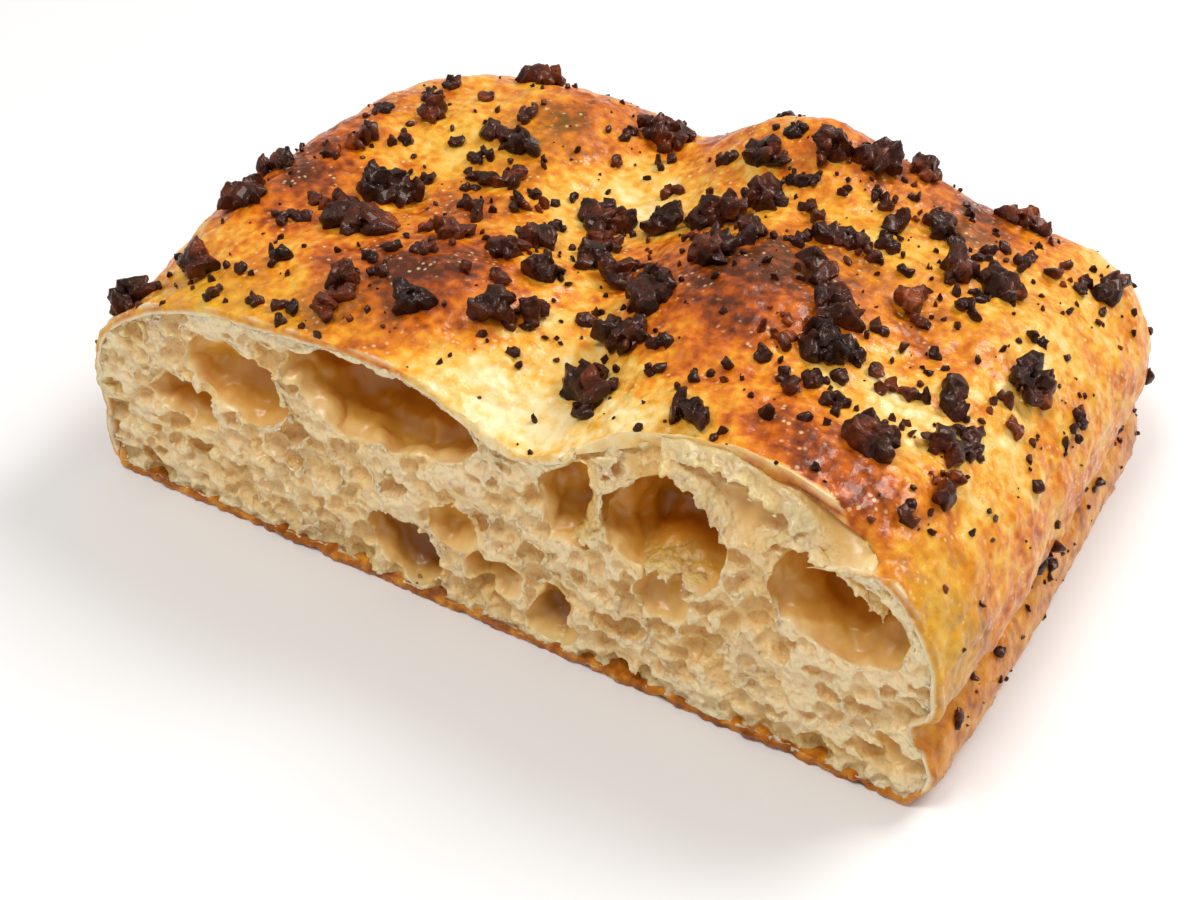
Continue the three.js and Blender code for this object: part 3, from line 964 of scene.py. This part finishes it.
    def crumb_finish(self) -> bpy.types.Material:
        """Returns the moist crumb, with painted shade and a painted glow of light through the crust: amber and
        darker the deeper a point lies behind the cut.
        """
        m = Recipe("moist crumb")
        fine = m.noise(1.3 * MM, 4)
        soft = m.noise(7 * MM, 3)
        cells = m.cells(0.9 * MM, "SMOOTH_F1")
        parts = m.put("SeparateXYZ", {0: m.place()})
        # Colour by depth behind the cut: painted shade in the pores and bubbles, and a painted amber glow of light
        # through the crust.
        deep = m.sums("ADD", m.attribute("deep"), m.spread(soft, 0.3, 0.7, -0.5, 0.5))
        colour = m.ramp(
            m.sums("MULTIPLY", deep, 1 / 14),
            [
                (0.0, "F6DAAA"),
                (0.08, "F1CC8C"),
                (0.18, "EBBE70"),
                (0.35, "E0A844"),
                (0.6, "CE8618"),
                (1.0, "A86408"),
            ],
        )
        depth = m.sums("ADD", parts.outputs["Y"], -CUT)
        low = m.spread(parts.outputs["Z"], 0.003, 0.013, 0.85, 0)
        brown = m.sums("MULTIPLY", low, m.spread(depth, 0.002, 0.006))
        colour = m.blend(brown, colour, tint("8A4C0C"))
        crisp = m.sums("MULTIPLY", m.spread(depth, 0.003, 0.008, 1, 0.1), m.spread(m.attribute("waxy"), 0.0, 0.8, 1, 0.15))
        normal = m.bump(cells, 0.5 * MM, share=crisp)
        normal = m.bump(fine, 0.7 * MM, normal, crisp)
        return m.finish(
            Base_Color=colour,
            Roughness=0.38,
            Normal=normal,
            Coat_Weight=0.3,
            Coat_Roughness=0.18,
            Subsurface_Weight=0.4,
            Subsurface_Radius=(0.004, 0.0022, 0.001),
            Subsurface_Scale=1.0,
        )

    def build(self) -> list[bpy.types.Object]:
        """Builds and dresses the crust and the crumb.

        Returns:
            The crust and the crumb, in that order.
        """
        whole, opened = self.even_shapes()
        pocket = self.pocket(whole, self.crust_thickness)
        filling = self.pocket(whole, self.crust_thickness - self.bedding)
        for space, grow in ((pocket, 1.4 * MM), (filling, 1.8 * MM)):
            rip = self.rip(grow)
            if space is filling:
                cut(rip, whole, "INTERSECT")
            cut(space, rip, "UNION")
            discard(rip)
        crust = self.crust(whole, pocket)
        crumb = self.crumb(opened, whole, filling)
        discard(whole, opened, pocket)
        for piece, finish in ((crust, self.crust_finish()), (crumb, self.crumb_finish())):
            piece.data.materials.clear()
            piece.data.materials.append(finish)
            only(piece)
            bpy.ops.object.shade_smooth_by_angle(angle=math.radians(70))
            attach(piece, ROOT)
            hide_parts(SLAB_NODE)
            LOG.info("%s: %d triangles", piece.name, closed_faces(piece))
        return [crust, crumb]


# ---- The topping --------------------------------------------------------------------------------


@dataclass
class Topping:
    """The dark crumbs baked onto the crust: clustered chunks, smaller bits and specks."""

    crust: bpy.types.Object
    grain: float = 3.1 * MM  # size of the grains that make up a chunk
    voxel: float = 0.22 * MM
    chunk_triangles: int = 2400
    specks: int = 420
    side_specks: int = 70  # on the right side's fried rim
    companions: int = 4  # fragments round each chunk
    seed: int = 21
    shards: list[bpy.types.Object] = field(default_factory=list)

    def make_shards(self) -> None:
        """Makes the few angular shards that every crumb is made of."""
        for i in range(6):
            bpy.ops.mesh.primitive_ico_sphere_add(subdivisions=1, radius=0.5)
            shard = named("shard")
            bpy.ops.object.mode_set(mode="EDIT")
            bpy.ops.mesh.select_all(action="SELECT")
            bpy.ops.transform.vertex_random(offset=0.3, seed=self.seed + i)
            bpy.ops.mesh.convex_hull()
            bpy.ops.object.mode_set(mode="OBJECT")
            self.shards.append(shard)

    def grain_at(self, rng: random.Random, place: Vector, size: float) -> Matrix:
        """Returns a shard's place, turned and stretched at random."""
        turn = Euler((rng.uniform(0, 6.3), rng.uniform(0, 6.3), rng.uniform(0, 6.3)))
        scale = size * Vector((rng.uniform(0.8, 1.4), rng.uniform(0.7, 1.1), rng.uniform(0.45, 0.8)))
        return Matrix.LocRotScale(place, turn, scale)

    def chunk(self, node: str, rng: random.Random) -> bpy.types.Object:
        """Makes one chunk as a cluster of grains that fills its CAD crumb.

        Args:
            node: The CAD crumb.
            rng: The source of the chunk's randomness.

        Returns:
            The chunk.
        """
        lump = frame["nodes"][node]
        low, high = (Vector(corner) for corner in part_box(node))
        footprint = (high.x - low.x) * (high.y - low.y)
        kept: list[Vector] = []
        tries = int(footprint / (0.5 * MM) ** 2 * 6) + 60
        for _ in range(tries):
            spot = Vector([rng.uniform(a, b) for a, b in zip(low, high)])
            found, near, normal, _ = lump.closest_point_on_mesh(lump.matrix_world.inverted() @ spot)
            if not found or (lump.matrix_world.inverted() @ spot - near).dot(normal) > -0.55 * MM:
                continue
            if all((spot - other).length > 0.42 * self.grain for other in kept):
                kept.append(spot)
        spots = [self.grain_at(rng, spot, self.grain * rng.choice((0.55, 0.8, 1.0, 1.15, 1.35))) for spot in kept]
        if not spots:
            spots = [self.grain_at(rng, (low + high) / 2, self.grain)]
        chunk = strewn(node.replace("topping", "baked"), self.shards, spots)
        remeshed(chunk, self.voxel)
        Relief(Grain.CELLS, 1.4 * MM, 0.35 * MM, 0.4).work(chunk)
        return thinned(chunk, self.chunk_triangles)

    def land(self, x: float, y: float) -> tuple[Vector, Vector] | None:
        """Returns the crust's surface and normal under a point of the plan."""
        hit, place, normal, _ = self.crust.ray_cast(Vector((x, y, 1.0)), Vector((0, 0, -1)))
        return (place, normal) if hit else None

    def scatter_bits(self, rng: random.Random) -> bpy.types.Object:
        """Makes the smaller crumbs, each of a few grains, as one piece."""
        spots = []
        for across, back, wide, deep in BITS:
            for _ in range(max(2, int(wide * deep / 2.2))):
                x = across * 0.073 + rng.uniform(-0.5, 0.5) * max(wide - 1.2, 0.4) * MM
                y = back * 0.0505 + rng.uniform(-0.5, 0.5) * max(deep - 1.2, 0.4) * MM
                found = self.land(x, y)
                if found:
                    place = found[0] + found[1] * rng.uniform(0.1, 0.7) * MM
                    spots.append(self.grain_at(rng, place, rng.uniform(1.4, 2.5) * MM))
        for node in CRUMB_NODES:
            low, high = (Vector(corner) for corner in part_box(node))
            for _ in range(self.companions):
                turn, reach = rng.uniform(0, 6.3), rng.uniform(0.55, 1.15)
                x = (low.x + high.x) / 2 + (high.x - low.x) * reach * math.cos(turn)
                y = (low.y + high.y) / 2 + (high.y - low.y) * reach * math.sin(turn)
                found = self.land(x, y)
                if found and found[0].z > 18 * MM:
                    size = rng.uniform(0.8, 1.8) * MM
                    spots.append(self.grain_at(rng, found[0] + found[1] * 0.2 * size, size))
        for y, z, size in SIDE_BITS:
            for _ in range(4):
                start = Vector((0.2, y * MM + rng.uniform(-0.3, 0.3) * size * MM, z * MM + rng.uniform(-0.3, 0.3) * size * MM))
                hit, place, normal, _ = self.crust.ray_cast(start, Vector((-1, 0, 0)))
                if hit:
                    spots.append(self.grain_at(rng, place + normal * 0.3 * MM, rng.uniform(0.35, 0.7) * size * MM))
        for _ in range(self.side_specks):
            start = Vector((0.2, rng.uniform(-48, 36) * MM, rng.uniform(2, 17) * MM))
            hit, place, _, _ = self.crust.ray_cast(start, Vector((-1, 0, 0)))
            if hit:
                spots.append(self.grain_at(rng, place, rng.choice((0.5, 0.7, 0.9, 1.4)) * MM))
        bits = strewn("small_crumbs", self.shards, spots)
        return thinned(remeshed(bits, self.voxel), 110_000)

    def scatter_specks(self, rng: random.Random) -> bpy.types.Object:
        """Makes the specks, as one piece."""
        spots = []
        while len(spots) < self.specks:
            across = rng.uniform(-0.95, 0.99)
            back = rng.uniform(-0.99, 0.95)
            if rng.random() > 0.35 + 0.65 * max(0.0, across):
                continue
            found = self.land(across * 0.072, back * 0.05)
            if found and found[0].z > 16 * MM:
                size = rng.choice((0.35, 0.45, 0.55, 0.8, 1.1, 1.5)) * MM
                spots.append(self.grain_at(rng, found[0] + found[1] * 0.12 * size, size))
        return strewn("baked_specks", self.shards, spots)

    def finish(self) -> bpy.types.Material:
        """Returns the charred, oily topping, from near black to maroon."""
        m = Recipe("charred topping")
        hue = m.noise(8 * MM, 3)
        fine = m.noise(0.9 * MM, 4)
        colour = m.ramp(
            m.sums("ADD", m.sums("MULTIPLY", hue, 0.8), m.sums("MULTIPLY", fine, 0.25)),
            [(0.34, "0E0806"), (0.45, "1F0F0A"), (0.55, "3A190D"), (0.64, "662C12"), (0.72, "9A4A16")],
        )
        return m.finish(
            Base_Color=colour,
            Roughness=m.spread(fine, 0.3, 0.7, 0.25, 0.5),
            Normal=m.bump(m.noise(0.6 * MM, 4), 0.25 * MM),
            Specular_Tint=tint("D9A088"),
            Coat_Weight=0.2,
            Coat_Roughness=0.12,
            Coat_Tint=tint("E8B8A0"),
            Subsurface_Weight=0.05,
            Subsurface_Radius=(0.002, 0.0005, 0.0003),
        )

    def build(self) -> list[bpy.types.Object]:
        """Builds and dresses the topping.

        Returns:
            One piece for each CAD crumb, then the bits and the specks.
        """
        self.make_shards()
        rng = random.Random(self.seed)
        pieces = []
        for node in CRUMB_NODES:
            piece = self.chunk(node, rng)
            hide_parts(node)
            pieces.append(piece)
        pieces += [self.scatter_bits(rng), self.scatter_specks(rng)]
        discard(*self.shards)
        self.shards.clear()
        finish = self.finish()
        for piece in pieces:
            piece.data.materials.clear()
            piece.data.materials.append(finish)
            only(piece)
            bpy.ops.object.shade_smooth_by_angle(angle=math.radians(32))
            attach(piece, ROOT)
        LOG.info("topping: %d pieces, %d triangles", len(pieces), sum(closed_faces(p) for p in pieces))
        return pieces


# The smaller crumbs: across and back as for the patches, then width and depth in millimetres.
BITS = [
    (-0.65, -0.38, 7, 3), (-0.64, -0.49, 5, 3), (-0.67, -0.53, 4, 3), (-0.62, -0.81, 2.5, 2.5),
    (-0.61, -0.92, 2.5, 5), (-0.51, -0.91, 4, 3), (-0.44, -0.90, 5, 3), (-0.43, -0.96, 3, 2),
    (-0.35, -0.81, 5, 4), (-0.38, -0.63, 4, 3.5), (-0.31, -0.70, 5, 2), (-0.36, -0.56, 3, 4),
    (-0.18, -0.58, 3, 2), (-0.12, -0.54, 3, 3), (-0.29, -0.53, 4, 5), (-0.04, -0.67, 2.5, 2.5),
    (0.0, -0.74, 2, 2), (-0.37, -0.38, 4.5, 3), (-0.17, -0.12, 3, 4), (-0.28, 0.01, 3, 3),
    (-0.24, -0.02, 2, 3), (-0.53, -0.06, 4, 2.5), (-0.21, 0.07, 2.5, 2.5), (-0.64, 0.02, 4, 4),
    (-0.74, -0.14, 5, 5), (-0.53, 0.12, 4, 3), (-0.45, 0.09, 5, 3), (-0.45, 0.35, 4, 5),
    (-0.59, 0.39, 3, 5), (-0.24, 0.49, 2, 6), (-0.21, 0.35, 3, 4), (-0.12, 0.44, 4, 5),
    (-0.04, 0.28, 5, 4), (-0.70, 0.33, 4, 5), (-0.70, 0.45, 4, 5), (-0.76, 0.15, 4, 6),
    (0.03, 0.44, 4, 4), (0.24, 0.38, 6, 4), (0.15, 0.55, 4, 5), (0.33, 0.38, 3, 3),
    (0.40, 0.42, 5, 4), (0.45, 0.50, 2.5, 2.5), (0.50, 0.45, 3, 6), (0.49, 0.20, 6, 4),
    (0.57, 0.38, 3, 5), (0.64, 0.38, 3, 6), (0.66, 0.49, 2, 4), (0.70, 0.47, 3, 8),
    (0.68, 0.14, 3, 4), (0.69, 0.05, 4.5, 3.5), (0.54, 0.11, 3, 3), (0.65, 0.11, 2.5, 2.5),
    (0.46, 0.11, 5, 3), (0.33, 0.06, 3, 8), (0.28, 0.26, 3.5, 5), (0.32, 0.23, 2.5, 4),
    (0.64, -0.09, 6, 2), (0.58, -0.20, 3, 4), (0.63, -0.23, 2.5, 2.5), (0.69, -0.19, 2.5, 3),
    (0.44, -0.37, 2.5, 2), (0.57, -0.37, 4.5, 5), (0.63, -0.38, 3, 2.5), (0.46, -0.44, 4, 4),
    (0.42, -0.45, 2, 2), (0.58, -0.47, 3, 3), (0.66, -0.42, 3.5, 5), (0.70, -0.39, 6, 3),
    (0.80, -0.42, 4, 3), (0.84, -0.44, 3.5, 5), (0.83, -0.37, 1.5, 3), (0.94, -0.01, 3, 6),
    (0.83, -0.20, 3.5, 3.5), (0.87, -0.25, 2.5, 4), (0.94, -0.32, 1.5, 4), (0.83, 0.53, 3, 4.5),
    (0.77, 0.50, 2.5, 3), (0.77, 0.58, 2, 2), (0.81, 0.10, 2, 2), (0.83, 0.11, 2, 2.5),
    (0.61, -0.60, 4, 5.5), (0.53, -0.62, 3.5, 3.5), (0.55, -0.53, 5, 3.5), (0.45, -0.53, 2, 4),
    (0.50, -0.58, 2, 3), (0.53, -0.75, 2.5, 2.5), (0.59, -0.71, 2, 2), (0.81, -0.80, 3, 4),
    (0.30, -0.67, 3, 2), (0.36, -0.68, 2.5, 2.5), (0.41, -0.60, 3, 2), (0.38, -0.64, 2, 2),
    (0.26, -0.57, 5, 3), (0.19, -0.82, 6, 3), (0.05, -0.49, 5, 3.5), (0.12, -0.05, 3, 2),
]  # fmt: skip


# Crumbs in the groove of the right side: Y, Z and size in millimetres.
SIDE_BITS = [
    (-42, 10, 2.5), (-36, 12.5, 2.5), (-29, 11, 3.5), (-25, 13, 3), (-20, 12.5, 3.5), (-12, 15, 5),
    (-9, 11, 3), (4, 13, 3), (13, 10, 2.5), (21, 14, 4), (28, 12, 3), (33, 17, 4),
]  # fmt: skip


# ---- The studio ---------------------------------------------------------------------------------


@dataclass
class Studio:
    """A pale floor, soft light and the camera."""

    camera_place: Vector = field(default_factory=lambda: Vector((0.1059, -0.1911, 0.1693)))
    camera_tilt: float = 51.7  # degrees up from straight down
    camera_turn: float = 30.8  # degrees about Z
    lens: float = 50.0

    def floor(self) -> bpy.types.Object:
        """Makes the floor that the slab stands on."""
        bpy.ops.mesh.primitive_plane_add(size=6)
        floor = named("studio_floor")
        m = Recipe("studio_floor")
        floor.data.materials.append(m.finish(Base_Color=(0.84, 0.835, 0.83, 1), Roughness=0.8))
        floor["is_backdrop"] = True
        return floor

    def lamp(self, name: str, place: Vector, size: float, power: float, warmth: float) -> None:
        """Adds a square soft light that looks at the slab."""
        bpy.ops.object.light_add(type="AREA", location=place)
        lamp = bpy.context.object
        lamp.name = name
        lamp.data.size = size
        lamp.data.energy = power
        lamp.data.color = (1, 1 - 0.5 * warmth, 1 - warmth)
        lamp.rotation_euler = (Vector((0, 0, 0.02)) - place).to_track_quat("-Z", "Y").to_euler()

    def build(self) -> None:
        """Sets up the floor, the lights, the surroundings and the camera."""
        self.floor()
        self.lamp("key light", Vector((0.35, 0.55, 0.75)), 0.4, 6.6, 0.03)
        self.lamp("top light", Vector((-0.1, -0.3, 0.8)), 0.25, 3.0, 0.03)
        world = bpy.data.worlds.new("surroundings")
        world.use_nodes = True
        world.node_tree.nodes["Background"].inputs["Color"].default_value = (1, 1, 1, 1)
        world.node_tree.nodes["Background"].inputs["Strength"].default_value = 0.48
        bpy.context.scene.world = world
        bpy.ops.object.camera_add(
            location=self.camera_place,
            rotation=(math.radians(self.camera_tilt), 0, math.radians(self.camera_turn)),
        )
        camera = bpy.context.object
        camera.data.lens = self.lens
        camera.data.sensor_width = 36
        bpy.context.scene.camera = camera
        bpy.context.scene.view_settings.view_transform = "Standard"


# ---- The scene ----------------------------------------------------------------------------------


def write_sizes() -> None:
    """Works out the CAD's box and the finished model's, in metres."""
    boxes = {
        name: [list(corner) for corner in box]
        for name, box in (("cad", CAD_BOUNDS), ("finished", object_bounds()))
    }


def main() -> None:
    """Builds the focaccia piece by piece, then the studio around it."""
    logging.basicConfig(level=logging.INFO, format="%(name)s: %(message)s")
    bpy.ops.object.select_all(action="DESELECT")
    random.seed(0)
    crust, _ = Slab().build()
    Topping(crust).build()
    Studio().build()
    write_sizes()


if __name__ == "__main__":
    main()
